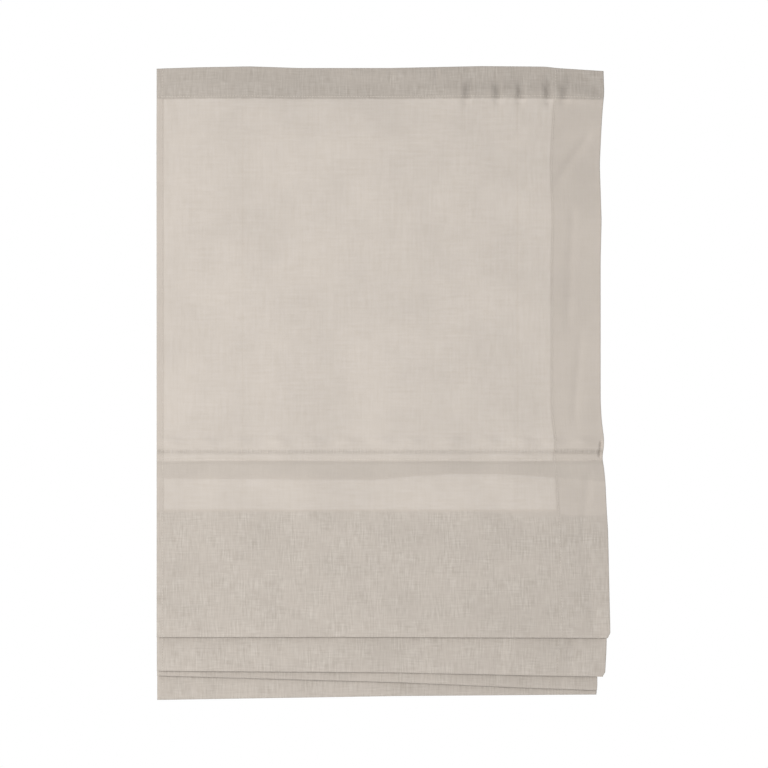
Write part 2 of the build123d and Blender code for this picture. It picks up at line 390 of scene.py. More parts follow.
# %% Linen shader
def linen_material():
    made, tree = new_material("undyed linen, loose plain weave")
    uv = node(tree, "ShaderNodeUVMap", uv_map="weave").outputs[0]
    layers = node(tree, "ShaderNodeAttribute", attribute_name="layers").outputs["Fac"]
    warp = streaks(tree, uv, STREAK_W, STREAK_L, 3.1)
    weft = streaks(tree, uv, STREAK_L, STREAK_W, 17.4)
    short_warp = streaks(tree, uv, 2 * STREAK_W, STREAK_L / 3, 41.0, 1.0)
    short_weft = streaks(tree, uv, STREAK_L / 3, 2 * STREAK_W, 57.0, 1.0)
    ribs = streaks(tree, uv, RIB_W, RIB_L, 83.0, 1.0)
    rows = streaks(tree, uv, RIB_L, RIB_W, 97.0, 1.0)
    cloud = streaks(tree, uv, CLOUD, CLOUD, 71.0, 3.0)
    fade = streaks(tree, uv, CLOUD / 3, CLOUD / 3, 29.0, 2.0)
    weave = weighted(tree, [(0.3, warp), (0.3, weft), (0.2, short_warp), (0.2, short_weft)])
    dense = ranged(tree, weave, 0.36, 0.64)
    ribbed = ranged(tree, weighted(tree, [(0.5, ribs), (0.3, rows), (0.2, weave)]), 0.33, 0.67)
    # Ribs painted where cloth lies behind: the painted shade of its threads, seen through the face.
    painted_show_through = ranged(tree, layers, 0.0, 1.0)
    # Painted shade: from 1 to 3 the colour darkens, over the rail, in the crease and in the gathers.
    painted_shade = ranged(tree, layers, 1.0, 3.0, 1.0, 0.72)
    # Painted highlight: from 0 down to -1 the colour gets paler, on the turned edges.
    painted_turning_light = ranged(tree, layers, -1.0, 0.0, 1.05, 1.0)
    depth = times(tree, painted_show_through, ranged(tree, fade, 0.35, 0.65, 0.45, 1.0))
    plain = two_tones(tree, dense, "c6bdb4", "c0b7ad")
    # The ribs' two tones are painted shade and light of the threads behind.
    show_through_tone = two_tones(tree, ribbed, "b6ada3", "cdc5bc")
    mixed = node(tree, "ShaderNodeMix", {0: depth, 6: plain, 7: show_through_tone}, data_type="RGBA")
    # The cloud is tone that differs at random; the other factors are painted shade and painted highlight.
    mottle_and_painted_shade = times(tree, ranged(tree, cloud, 0.3, 0.7, 0.955, 1.025), painted_shade)
    mottle_and_painted_shade = times(tree, mottle_and_painted_shade, painted_turning_light)
    colour = node(tree, "ShaderNodeVectorMath", {0: mixed.outputs[2], 3: mottle_and_painted_shade}, operation="SCALE").outputs[0]
    height = weighted(tree, [(0.7, weave), (0.3, ribbed)])
    relief = node(tree, "ShaderNodeBump", {"Height": height, "Strength": 0.4, "Distance": THREAD_RELIEF * MM})
    face = node(tree, "ShaderNodeBsdfPrincipled",
                {"Base Color": colour, "Roughness": 0.92, "IOR": 1.45, "Specular IOR Level": 0.15,
                 "Sheen Weight": 0.08, "Sheen Roughness": 0.6, "Normal": relief.outputs[0]})
    glow_tone = two_tones(tree, dense, "cab8a2", "b8a690")
    lit = node(tree, "ShaderNodeBsdfTranslucent", {"Color": glow_tone})
    fibres = node(tree, "ShaderNodeMixShader", {0: THROUGH_THREADS, 1: face.outputs[0], 2: lit.outputs[0]})
    gaps = ranged(tree, dense, 0.0, 1.0, 0.074, 0.03)
    clear = node(tree, "ShaderNodeBsdfTransparent")
    whole = node(tree, "ShaderNodeMixShader", {0: gaps, 1: fibres.outputs[0], 2: clear.outputs[0]})
    node(tree, "ShaderNodeOutputMaterial", {"Surface": whole.outputs[0]})
    return made


linen = linen_material()
print("made", linen.name)

# %% [markdown]
# ### Hard finishes
# The rail, brackets, rods and lock are powder coat, moulded plastic, pulled glass fibre and bare
# metal. All of them have a grain: the orange peel of a baked powder, the flow of a mould, the
# lines that a roller or die leaves. `grained` draws that grain from its real size in millimetres
# along each axis, lets the tone and the gloss drift a little over a hand's width, and adds faint
# handling marks that are long and thin.


# %% Grained finish
DRIFT = 70.0
MARK_L = 40.0
MARK_W = 2.0


def grained(name, tones, grain, roughness, relief, **shader):
    """tones: dark and light hex. grain: size in mm along x, y, z. relief: depth of the grain in mm."""
    made, tree = new_material(name)
    place = node(tree, "ShaderNodeTexCoord").outputs["Object"]
    fine = noise(tree, place, grain, 4.0)
    drift = noise(tree, place, DRIFT, 2.0)
    marks = ranged(tree, noise(tree, place, (MARK_L, MARK_W, MARK_W), 3.0), 0.58, 0.72)
    tone = ranged(tree, weighted(tree, [(0.6, fine), (0.6, drift), (-0.25, marks)]), 0.4, 0.8)
    gloss = weighted(tree, [(1.0, ranged(tree, drift, 0.3, 0.7, *roughness)), (0.12, marks)])
    surface(tree, tone, tones, fine, 0.5, relief, {"Roughness": gloss, **shader})
    return made


# %% [markdown]
# Baked powder leaves a satin skin with a soft ripple of about 1 mm. Moulded ABS is smoother and a
# little warmer. The rods are pulled through a die, so their fibres run lengthwise under a thin gel.

# %% Coated and moulded pieces
FINISHES = [
    (grained("white powder coat on extruded aluminium", ("e3e2dd", "f0efeb"), (1.1, 1.1, 1.1),
             (0.34, 0.44), 0.03), ["headrail"]),
    (grained("white powder coat on pressed steel", ("dddbd6", "edece8"), (1.5, 1.5, 1.5),
             (0.40, 0.52), 0.05),
     ["wall_bracket_left", "wall_bracket_right", "bracket_latch_left", "bracket_latch_right"]),
    (grained("white ABS, injection moulded", ("dedbd2", "ebe9e2"), (0.6, 0.6, 0.6),
             (0.36, 0.48), 0.02, IOR=1.54),
     ["end_cap_left", "end_cap_right", "cord_guide_left", "cord_guide_right", "lock_body",
      "lock_pawl", "cord_stops"]),
    (grained("white glass-fibre rod, pulled through a die", ("d3d1c6", "ecebe4"), (30, 0.5, 0.5),
             (0.30, 0.46), 0.03, IOR=1.52), ["rod_1", "rod_2", "rod_3", "rod_4"]),
    (grained("clear polycarbonate, moulded", ("e6e8e8", "f6f7f7"), (0.8, 0.8, 0.8),
             (0.10, 0.20), 0.01, **{"Transmission Weight": 0.7, "IOR": 1.58}),
     [f"rod_{k}_rings" for k in (1, 2, 3, 4)]),
]

# %% [markdown]
# The bar, the pins and the roller are bare metal. Rolled aluminium keeps lines along its length,
# drawn steel is darker and finer, and turned brass has rings round its axis.

# %% Metal pieces
FINISHES += [
    (grained("mill finish aluminium, rolled", ("a9abad", "c6c8ca"), (45, 0.4, 0.4),
             (0.30, 0.46), 0.02, Metallic=1.0), ["weight_bar"]),
    (grained("drawn steel wire", ("85878a", "a6a8aa"), (0.3, 6, 0.3),
             (0.24, 0.36), 0.01, Metallic=1.0), ["lock_pins"]),
    (grained("turned brass", ("a98a4e", "cdb47c"), (4, 0.25, 4),
             (0.20, 0.34), 0.02, Metallic=1.0), ["lock_roller"]),
]


# %% [markdown]
# ### Hook and loop tape
# The cloth is held to the rail by two woven tapes. The rail's tape has rows of stiff nylon hooks,
# 1.5 mm apart, and the cloth's has a brushed mat of loops. Cells make the rows, and the loops
# are soft noise with a strong sheen.

# %% Tapes
FUZZ = 0.5


def tape_material(name, tones, cell, randomness, relief, sheen):
    """tones: dark and light hex. cell: hooks or loops this far apart, in mm. relief: their height in mm."""
    made, tree = new_material(name)
    place = node(tree, "ShaderNodeTexCoord").outputs["Object"]
    cells = node(tree, "ShaderNodeTexVoronoi", {"Vector": place, "Scale": 1 / (cell * MM),
                                                "Randomness": randomness}).outputs["Distance"]
    pile = ranged(tree, weighted(tree, [(-0.8, cells), (0.7, noise(tree, place, FUZZ, 3.0))]), -0.3, 0.3)
    surface(tree, pile, tones, pile, 0.8, relief, {"Roughness": 0.75, "Sheen Weight": sheen})
    return made


FINISHES += [
    (tape_material("nylon hook tape, woven", ("bdbab3", "e6e4de"), 1.5, 0.15, 0.5, 0.1), ["hook_tape"]),
    (tape_material("nylon loop tape, brushed", ("cfcbc3", "e9e6df"), 0.7, 1.0, 0.3, 0.5), ["loop_tape"]),
]

for finish, names in FINISHES:
    for name in names:
        part = frame["nodes"][name]
        part.data.materials.clear()
        part.data.materials.append(finish)
print("finished", sum(len(names) for _, names in FINISHES), "parts")


# %% [markdown]
# ### Cord and thread
# A braid is strands that cross over and under, which reads as small diamonds round the cord. The
# sewing thread is spun polyester, dyed to the cloth but smoother, so each stitch catches a little
# more light than the linen round it.

# %% Braid and thread
STRANDS = 8
BRAID_STEP = 0.47
THREAD_PLY = 0.3
SOIL = 60.0
DYE = 50.0


def braid_material():
    made, tree = new_material("white polyester cord, braided")
    uv = node(tree, "ShaderNodeUVMap", uv_map="lay").outputs[0]
    crossed = node(tree, "ShaderNodeMapping", {"Vector": uv, "Scale": (STRANDS, 1 / (BRAID_STEP * MM), 1),
                                               "Rotation": (0, 0, math.radians(45))})
    braid = node(tree, "ShaderNodeTexChecker", {"Vector": crossed.outputs[0], "Scale": 1.0}).outputs["Fac"]
    tone = weighted(tree, [(0.35, braid), (0.65, noise(tree, uv, SOIL, 3.0))])
    surface(tree, tone, ("dcd9d1", "f3f2ee"), braid, 0.5, 0.1, {"Roughness": 0.6, "Sheen Weight": 0.2})
    return made


def thread_material():
    made, tree = new_material("spun polyester thread, natural")
    place = node(tree, "ShaderNodeTexCoord").outputs["Object"]
    ply = noise(tree, place, THREAD_PLY, 2.0)
    tone = weighted(tree, [(0.5, ply), (0.5, noise(tree, place, DYE, 2.0))])
    surface(tree, tone, ("c9c0b5", "dad3c9"), ply, 0.5, 0.05, {"Roughness": 0.55, "Sheen Weight": 0.2})
    return made


cord_finish = braid_material()
thread = thread_material()
for piece in cord_pieces:
    piece.data.materials.append(cord_finish)
print("made", cord_finish.name, "and", thread.name)

# %% [markdown]
# ## The cloth, row by row
# The cloth is a single sheet that is followed from the hem behind the header, over the top edge,
# down the front, round each fold and up over each rod, to the turned hem at the bottom. Its route
# is a list of points across its thickness: how far it stands from the wall and how far it is below
# the top edge, in millimetres. `straight` walks from point to point in small steps, and every step
# becomes one row of the mesh. Turns are half circles.


# %% Route helpers
def mm(value):
    return value / MM


def below(z):
    """Depth below the top edge, in millimetres."""
    return mm(top_edge - z)


def straight(start, end, step):
    """Points from start to end, both included, about step apart."""
    count = max(1, round(math.dist(start, end) / step))
    return [tuple(a + (b - a) * i / count for a, b in zip(start, end)) for i in range(count + 1)]


def half_turn(y_a, y_b, depth, downwards, steps=6):
    """Half circle from y_a to y_b: round a fold's bottom if downwards, or over a top edge."""
    radius = (y_b - y_a) / 2
    side = 1 if downwards else -1
    angles = [math.pi * i / steps for i in range(steps + 1)]
    return [((y_a + y_b) / 2 - radius * math.cos(a), depth + side * abs(radius) * math.sin(a))
            for a in angles]


def walk(corners, steps):
    """Joins straight runs through these corners, each with its own step."""
    path = [corners[0]]
    for start, end, step in zip(corners, corners[1:], steps):
        path += straight(start, end, step)[1:]
    return path


# %% [markdown]
# A few sizes of the cloth can't be read from boxes: how much cloth lies between two rods, how far
# the seam of the first pocket is from the top edge, and how the layers are spaced round a fold.

# %% Layout of the layers
SEAM = 472.0
CLOTH_BETWEEN = 365.0
FOLD_PITCH = 2.0
HEADER = 38.0
HEADER_PITCH = 1.4
BOTTOM_HEM = 40.0
HEM_BACK = 4.6
TUCK_LOW = 494.0
POCKET_R = 2.7
panel_y = mm(front_y)
rod_y = [mm(r.y) for r in rods]
rod_d = [below(r.z) for r in rods]
bottom_d = below(cloth_low.z)
rod_reach = rod_y[1] - panel_y - FOLD_PITCH
fronts = [panel_y] + [y + rod_reach for y in rod_y[1:]]
above = [SEAM] + rod_d[1:3]
fold_d = [(a + b - FOLD_PITCH + CLOTH_BETWEEN) / 2 for a, b in zip(above, rod_d[1:])]
layer_low = fold_d + [bottom_d]
print("fold bottoms below the top edge:", [round(d) for d in fold_d], "bottom edge:", round(bottom_d))


# %% [markdown]
# ### Upper cloth
# The upper cloth runs from the hem behind the header to the seam of the first pocket. The pocket is
# a tuck: the cloth goes back on itself behind the seam, hangs down round the rod and comes up to
# the seam again. The rows of the tuck follow that rod.

# %% Route of the upper cloth
FOLDED_EDGE = HEADER_PITCH / 2
header_y = panel_y + HEADER_PITCH
header_back = straight((header_y, HEADER), (header_y, FOLDED_EDGE), 2.5)
over_top = half_turn(header_y, panel_y, FOLDED_EDGE, False)[1:]
PUCKERS_END = 46.0
PILLOWS_FROM = 440.0
face_rows = walk([(panel_y, FOLDED_EDGE), (panel_y, PUCKERS_END), (panel_y, PILLOWS_FROM), (panel_y, SEAM)],
                 [1.8, 4.2, 1.1])[1:]
y, d = rod_y[0], rod_d[0]
tuck_down = walk([(panel_y + 0.4, SEAM + 0.5), (y - POCKET_R, d - 4), (y - POCKET_R, d + 3),
                  (y - 1.6, TUCK_LOW - 1.6)], [2.0, 2.0, 2.0])
tuck_up = walk([(y + 0.6, TUCK_LOW - 1.6), (y + POCKET_R, d + 3), (y + POCKET_R, d - 3),
                (panel_y + 1.3, SEAM + 1.5)], [2.0, 2.0, 2.0])
tuck = tuck_down + half_turn(y - 1.6, y + 0.6, TUCK_LOW - 1.6, True, 5)[1:-1] + tuck_up
upper_route = header_back + over_top + face_rows + tuck
tuck_from = len(upper_route) - len(tuck)
print("upper rows", len(upper_route))


# %% [markdown]
# ### Folded cloth
# From the seam the cloth goes down to the first fold, up behind itself, over the second rod and down
# again, three times, and then hangs as the skirt. Under each rod a seam closes the cloth round it,
# so the two layers come together there. The rows are closer under the seam and where the top of the
# fold behind starts to show. Each row also gets its share of the lowest rod's travel. A
# layer that hangs in front of a fold keeps the share of the rod above it, and the layer that rises
# behind takes up the rest, as cloth that can't stretch has to.

# %% Route of the folded cloth
SEAM_UNDER_ROD = 7.0
CLEAR_OF_ROD = 20.0
FALL_STEP = 4.6


def over_rod(k, fall_y):
    """Up to rod k, round it, and down: the two layers are sewn together just under the rod."""
    y, d, seam = rod_y[k], rod_d[k], SEAM_UNDER_ROD
    path = [(y - 1.2, d + seam + 4), (y - 0.55, d + seam), (y - 1.4, d + 3.6)]
    for a in np.linspace(-0.35, math.pi + 0.35, 11):
        path.append((y - POCKET_R * math.cos(a), d - POCKET_R * math.sin(a)))
    path += [(y + 1.4, d + 3.6), (y + 0.55, d + seam), (y + 1.2, d + seam + 4)]
    return path + [(fall_y, d + CLEAR_OF_ROD)]


FINE_UNDER_SEAM, FINE_FROM, FINE_TO = 500.0, 527.0, 543.0
rows = walk([(panel_y, depth) for depth in (SEAM, FINE_UNDER_SEAM, FINE_FROM, FINE_TO, fold_d[0])],
            [1.4, 4.5, 1.6, 5.2])
row_share, row_layer, row_free = [0.0] * len(rows), [0] * len(rows), [1.0] * len(rows)
pocket_seams = []
for k in (1, 2, 3):
    rise_y = fronts[k - 1] + FOLD_PITCH
    turn = half_turn(fronts[k - 1], rise_y, fold_d[k - 1], True)[1:]
    rise = straight((rise_y, fold_d[k - 1]), (rise_y, rod_d[k] + CLEAR_OF_ROD), 6.0)[1:]
    pocket = over_rod(k, fronts[k])
    low_d = fold_d[k] if k < 3 else bottom_d - HEM_BACK / 2
    fall = straight((fronts[k], rod_d[k] + CLEAR_OF_ROD), (fronts[k], low_d), FALL_STEP)[1:]
    pocket_seams.append(len(rows) + len(turn) + len(rise) + len(pocket) - 3)
    rows += turn + rise + pocket + fall
    climb = [(fold_d[k - 1] - d) / (fold_d[k - 1] - rod_d[k] - CLEAR_OF_ROD) for _, d in rise]
    before, after = DROP_SHARES[k - 1], DROP_SHARES[k]
    row_share += [before] * len(turn) + [before + (after - before) * c for c in climb]
    row_share += [after] * (len(pocket) + len(fall))
    row_layer += [k - 1] * (len(turn) + len(rise)) + [k] * (len(pocket) + len(fall))
    row_free += [1.0] * (len(turn) + len(rise)) + [0.0] * len(pocket) + [1.0] * len(fall)
hem_y = fronts[3] + HEM_BACK
hem = half_turn(fronts[3], hem_y, bottom_d - HEM_BACK / 2, True)[1:]
hem_top = bottom_d - BOTTOM_HEM
hem += walk([hem[-1], (hem_y, hem_top + 6), (fronts[3] + 1.0, hem_top)], [4.0, 2.0])[1:]
folded_route = rows + hem
row_share += [1.0] * len(hem)
row_layer += [3] * len(hem)
row_free += [0.0] * len(hem)
print("folded rows", len(folded_route))

# %% [markdown]
# ### Across the cloth
# Each row is the same list of columns. At the right the cloth is turned back twice to make a wide
# side hem, so the columns go on behind the edge, back inwards, and out again under the fold. At
# the left the edge is a narrow plain turning. A column says where it is across the blind and how
# far behind the face it lies.

# %% Columns
HEM_W = 60.0
HEM_PITCH = 0.3
LEFT_TURN = 9.0
FINE_EDGE = 13.0
TURN_STEP = 3.0
UNDER_SHORT = 6.0
LEFT_ROUND, EDGE_ROUND, INNER_ROUND = 0.05, 0.25, 0.2
half = mm(half_w)


def columns(step):
    """(place across, depth behind the face) in millimetres, from the left turning to the right hem."""
    left = [(x, HEM_PITCH) for x in np.arange(-half + LEFT_TURN, -half, -TURN_STEP)]
    left.append((-half - LEFT_ROUND, HEM_PITCH / 2))
    edge_from, hem_from = half - FINE_EDGE, half - HEM_W
    count = round((edge_from + half) / step)
    face = [(x, 0.0) for x in np.linspace(-half, edge_from, count, endpoint=False)]
    face += [(x, 0.0) for x in np.linspace(edge_from, half, 11)]
    edge = [(half + EDGE_ROUND, HEM_PITCH)]
    back = [(x, 2 * HEM_PITCH) for x in np.linspace(half, edge_from, 11)]
    back += [(x, 2 * HEM_PITCH) for x in np.linspace(edge_from, hem_from, 12)[1:]]
    inner = [(hem_from - INNER_ROUND, 1.5 * HEM_PITCH)]
    under = [(x, HEM_PITCH) for x in np.linspace(hem_from, half - UNDER_SHORT, 12)]
    return np.array(left + face + edge + back + inner + under)


# %% [markdown]
# ### What linen does when it hangs
# Nothing in a sewn blind is quite straight. The outer edge wanders by a few millimetres, the fold
# bottoms tilt, the header puckers where the tape pulls it, and the cloth pillows out above the
# pocket's seam. Each of these is a short list of sizes, in millimetres, and a smooth curve through
# them. `TOP_EDGE` and `FOLD_TILT` say how much an edge is lifted at each place across, `RIGHT_EDGE`
# how far the side edge stands out at each depth, `LAYER_EDGE` the same for each of the layers
# behind, and `TUCK_EDGE` how low the first pocket reaches.


# %% Wandering edges
def smooth(t):
    t = np.clip(t, 0, 1)
    return t * t * (3 - 2 * t)


def softened(values, width):
    """Evens out a list of values, each over this many neighbours."""
    window = np.hanning(width) / np.hanning(width).sum()
    return np.convolve(np.pad(np.array(values, float), width // 2, mode="edge"), window, mode="valid")


def through(pairs, at):
    """Smooth curve through (place, value) pairs."""
    places, values = zip(*pairs)
    fine = np.linspace(places[0], places[-1], 400)
    return np.interp(at, fine, softened(np.interp(fine, places, values), 15))


TOP_EDGE = [(-268, -1.4), (-222, 0.2), (-157, 1.4), (-96, -0.6), (12, -0.6), (120, 1.7), (198, 1.1),
            (212, -0.6), (268, -4.2)]
RIGHT_EDGE = [(0, 0), (29, 0.9), (45, -0.6), (63, -2), (93, -3.6), (117, -4.6), (184, -2.4), (232, -3.6),
              (400, -3.5), (424, -2.2), (447, 0.9), (459, 0.2), (468, -1.9), (476, 0), (496, 2.2), (532, 3.9),
              (556, 5.5), (640, 7.3), (675, 8.2)]
LAYER_EDGE = [4.0, -7.0, -7.5]
FOLD_TILT = [[(-268, 1.2), (0, 1.3), (268, 0.2)], [(-268, -1.5), (20, -3.5), (180, -7), (268, -8.5)],
             [(-268, 7.5), (20, -0.5), (180, -7), (268, -10)], [(-268, -6.5), (20, -1.8), (268, 0)]]
TUCK_EDGE = [(-268, 494), (-5, 495.5), (42, 491), (84, 488.5), (150, 488.5), (174, 490), (205, 493),
             (268, 498)]

# %% [markdown]
# A crease or a pucker is a soft ridge along a segment: across and depth of its start, across and
# depth of its end, its width, and its height, which is negative where it is pressed in. The
# gathers are the deepest puckers, on the lower half of the header.

# %% Creases and puckers
PILLOWS = [-250, -207, -168, -122, -80, -38, 4, 38, 86, 131, 173, 207, 243]
GATHER_DEPTH = -3.4
GATHERS = [(105.6, 24, 104, 36, 4.4, -3.2), (140, 25, 141, 36, 4.0, -3.0), (168, 25, 168, 36, 4.2, -3.2),
           (200, 18, 202, 38, 3.8, GATHER_DEPTH), (223, 14, 221, 36, 4.4, -2.8)]
PUCKERS = [(13, 1, 13, 12, 3, -1.2), (68, 1, 68, 14, 3, -1.2), (-40, 3, -40, 14, 4, -0.8), *GATHERS,
           (88, 30, 240, 30, 9.0, 3.4), (-30, 8, 90, 8, 6.0, 1.3)]
CREASES = [(250, 87, 220, 133, 5.0, -1.6), (-132, 642, -78, 660, 3.5, -0.9), (164, 543, 200, 559, 3.5, -0.9),
           (82, 591, 84, 625, 3.0, -0.7), (-40, 560, -10, 640, 8.0, -0.6), (-190, 600, -170, 664, 7.0, -0.5),
           (234, 180, 230, 300, 5.0, -0.8), (244, 330, 236, 420, 5.0, -0.9), (60, 180, 120, 300, 14.0, -0.5),
           (248, 494, 238, 560, 5.0, -0.9), (242, 590, 250, 670, 7.0, -0.8),
           (264.6, 451, 264.4, 465, 1.2, -3.4)]
LOWER_CREASES = [(144, 690, 140, 748, 7.0, -1.1), (-120, 686, -126, 736, 9.0, -0.8),
                 (60, 688, 64, 742, 8.0, 0.8), (228, 690, 224, 735, 6.0, -0.9),
                 (-220, 690, -214, 740, 8.0, 0.7), (-30, 700, -24, 752, 9.0, -0.6)]


def ridge(x, d, line):
    """Soft crease along a segment: (x0, d0, x1, d1, width, height)."""
    x0, d0, x1, d1, width, height = line
    run = np.hypot(x1 - x0, d1 - d0)
    along = ((x - x0) * (x1 - x0) + (d - d0) * (d1 - d0)) / run
    aside = ((x - x0) * (d1 - d0) - (d - d0) * (x1 - x0)) / run
    past = np.maximum(np.maximum(-along, along - run), 0)
    return height * np.exp(-(aside / width) ** 2 - (past / (2 * width)) ** 2)


# %% [markdown]
# The whole face also waves a little. Each wave has a height, a length across, a length down and a
# start. The upper cloth has a belly of slack, and the pocket's seam has its own relief: pillows
# above it, a pressed-in crease, a raised band and a bulge where the rod lies.

# %% Relief of the face
WAVES = [(0.5, 61, 140, 0.0), (0.4, 34, -210, 1.7), (0.25, 160, 45, 0.6), (0.15, 14.5, 300, 0.0)]
BELLY = 6.0
BELLY_FROM = 60.0
CREASE = 460.5
CREASE_IN = 1.8
PILLOW = 2.0
PILLOW_D = 449.0
BAND_D = 466.0
BULGE_END = 505.0


def seam_relief(x, d):
    """Pillows above the pocket, the crease, the band under it and the bulge over the rod."""
    lean = 0.6 * np.sin(x / 31.0) + 0.4 * np.sin(x / 12.7)
    out = sum(PILLOW * np.exp(-((x - c) / 12.0) ** 2 - ((d - PILLOW_D) / 5.5) ** 2) for c in PILLOWS)
    out = out - CREASE_IN * np.exp(-((d - CREASE - 0.3 * lean) / 2.0) ** 2)
    out = out + 0.8 * np.exp(-((d - BAND_D) / 3.0) ** 2)
    out = out - 0.5 * np.exp(-((d - SEAM) / 1.6) ** 2)
    return out + 1.1 * smooth((d - SEAM) / 5) * smooth((BULGE_END - d) / 16)


def relief(x, d, layer):
    """How far the face stands out towards the room, in millimetres. The belly is the slack of the
    upper cloth, which stands out most just below the header and is gone at the seam."""
    waves = sum(high * np.sin(x / across + d / down + start) for high, across, down, start in WAVES)
    waves = waves + BELLY * np.clip((SEAM - d) / (SEAM - BELLY_FROM), 0, 1)
    calm = smooth((d - 30) / 60) * (1 - 0.6 * smooth((d - 500) / 30))
    deep = sum(ridge(x, d, line) for line in LOWER_CREASES) * np.clip(layer, 0, 1)
    return waves * calm + sum(ridge(x, d, line) for line in PUCKERS + CREASES) + deep + seam_relief(x, d)


# %% [markdown]
# ### Laying the sheet
# A grid is added with one face for each step of the route and each column. Its corners are then
# moved to their places: along the route, out from it by the column's layer, and by the creases.
# Where the tape or the bottom bar lies behind it, the cloth can't be pressed back into them.
# The UV map is the flat cloth in metres, which is what the weave reads. `shape` also takes places
# between rows, so the stitches can use it.

# %% Shape of a sheet
CORNER_R = 4.0
CORNER_IN = [2.6, 2.6, 0.4, 0.4]
BAR_TOP = 60.0


def sheet_rows(route, free, layer, tuck_from):
    """All that a row needs: its place, the way to the back of the cloth, its freedom and its layer."""
    y, d = np.array(route, float).T
    ty, td = np.gradient(y), np.gradient(d)
    size = np.maximum(np.hypot(ty, td), 1e-9)
    length = np.concatenate([[0], np.cumsum(np.hypot(np.diff(y), np.diff(d)))])
    return {"y": y, "d": d, "ny": td / size, "nd": -ty / size, "length": length,
            "free": softened(free, 9), "layer": softened(layer, 9), "tuck_from": tuck_from}


def shape(rows, x, behind, row):
    """Places of points on a sheet, in millimetres: across, out of the wall, and below the top edge."""
    at = np.arange(len(rows["y"]))
    y, d, ny, nd, free, layer = (np.interp(row, at, rows[k]) for k in ("y", "d", "ny", "nd", "free", "layer"))
    face_x = np.clip(x, -half, half)
    outline = through(RIGHT_EDGE, np.clip(d, 0, RIGHT_EDGE[-1][0]))
    inner = np.interp(layer, [1, 2, 3], LAYER_EDGE) - 2.0 * (np.abs(layer - 1) < 0.5) * smooth((d - 680) / 50)
    drift = outline + (inner - outline) * np.clip(layer, 0, 1)
    lift = through(TOP_EDGE, face_x) * smooth(1 - d / 60)
    for k in range(4):
        share = smooth(1 - (layer_low[k] - d) / 120) * np.clip(1 - np.abs(layer - k), 0, 1)
        lift = lift + through(FOLD_TILT[k], face_x) * share
        corner = smooth(1 - (layer_low[k] - d) / CORNER_R) * np.clip(1 - np.abs(layer - k), 0, 1)
        drift = drift - CORNER_IN[k] * corner * smooth((x - half + 14) / 12)
    in_tuck = row >= rows["tuck_from"]
    reach = (through(TUCK_EDGE, face_x) - SEAM) / (TUCK_LOW - SEAM)
    d_tuck = SEAM + (d - SEAM) * reach
    out = relief(face_x, d, layer) * free
    on_bar, on_tape = (layer > 2.5) & (d > bottom_d - BAR_TOP), d < HEADER + 4
    out = np.where(on_bar | on_tape, np.maximum(out, -0.1), out)
    px = x + drift * smooth((x - 60) / 150)
    return px, y + behind * ny - out, np.where(in_tuck, d_tuck, d) + behind * nd - lift


# %% [markdown]
# Thin cloth gets painted ribs where more cloth hangs behind it, the painted shade of the threads
# behind; a painted shade over the rail, along the hem's inner edge, in the crease above the first
# pocket's seam and in the gathers; and a painted highlight on its turned edges. The mesh keeps that
# as a number at each point, worked out from where the layers lie.

# %% What lies behind, painted as shade and light
FOLD_TOP = 533.0
# Painted shade over the rail, along the hem's inner edge and in the crease, painted ribs under the pocket, and a
# painted highlight on the turnings.
PAINTED_RAIL_SHADE = 2.0
HEM_EDGE_SHADE = 0.5
POCKET_SHOW_THROUGH = 0.24
CREASE_SHADE = 1.7
PAINTED_TURNING_LIGHT = 0.5


def layers_and_painted_shade(rows, x, row):
    """Painted shade and light at each point: 0 for nothing, 1 for painted ribs of more cloth behind,
    2 for painted shade over the rail, 3 for deeper painted shade in the puckers on it, and -1 for
    a painted highlight on the cloth's own folded-back edges."""
    at = np.arange(len(rows["y"]))
    d, layer = np.interp(row, at, rows["d"]), np.interp(row, at, rows["layer"])
    tuck_low = through(TUCK_EDGE, np.clip(x, -half, half))
    step = FOLD_TOP + 6 * smooth((x - 140) / 30) + 0.8 * np.sin(x / 9)
    from_hem = x - half + HEM_W
    # Painted highlight on the wide hem and, fainter, on the left turning, where nothing else is painted.
    painted_turning_light = np.maximum(1.0 * (from_hem > 0), PAINTED_TURNING_LIGHT * (x < -half + LEFT_TURN))
    # Painted shade line along the hem's inner edge.
    hem_edge_shade = HEM_EDGE_SHADE * np.exp(-((from_hem - 1.5) / 1.6) ** 2)
    # Painted ribs under the pocket's seam, where the tuck hangs behind.
    band = POCKET_SHOW_THROUGH * (d > SEAM) * smooth((tuck_low + 2 - d) / 7)
    # Painted shade in the crease above the pocket's seam.
    crease = CREASE_SHADE * np.exp(-((d - CREASE) / 2.2) ** 2) * (layer < 0.3)
    # Painted ribs wherever a fold lies behind.
    folds = np.maximum(smooth((d - step + 3) / 6), layer > 0.3)
    # Painted shade over the rail behind the header, deeper in the gathers.
    rail_and_gather_shade = PAINTED_RAIL_SHADE + np.clip(sum(ridge(x, d, line) for line in GATHERS) / GATHER_DEPTH, 0, 1)
    behind = np.maximum.reduce([hem_edge_shade, band, crease, folds, rail_and_gather_shade * (d < HEADER)])
    return np.where(behind > 0.1, behind, behind - painted_turning_light)


# %% Lay a sheet
def in_metres(x, y, d):
    return np.stack([x * MM, y * MM, top_edge - d * MM], axis=1)


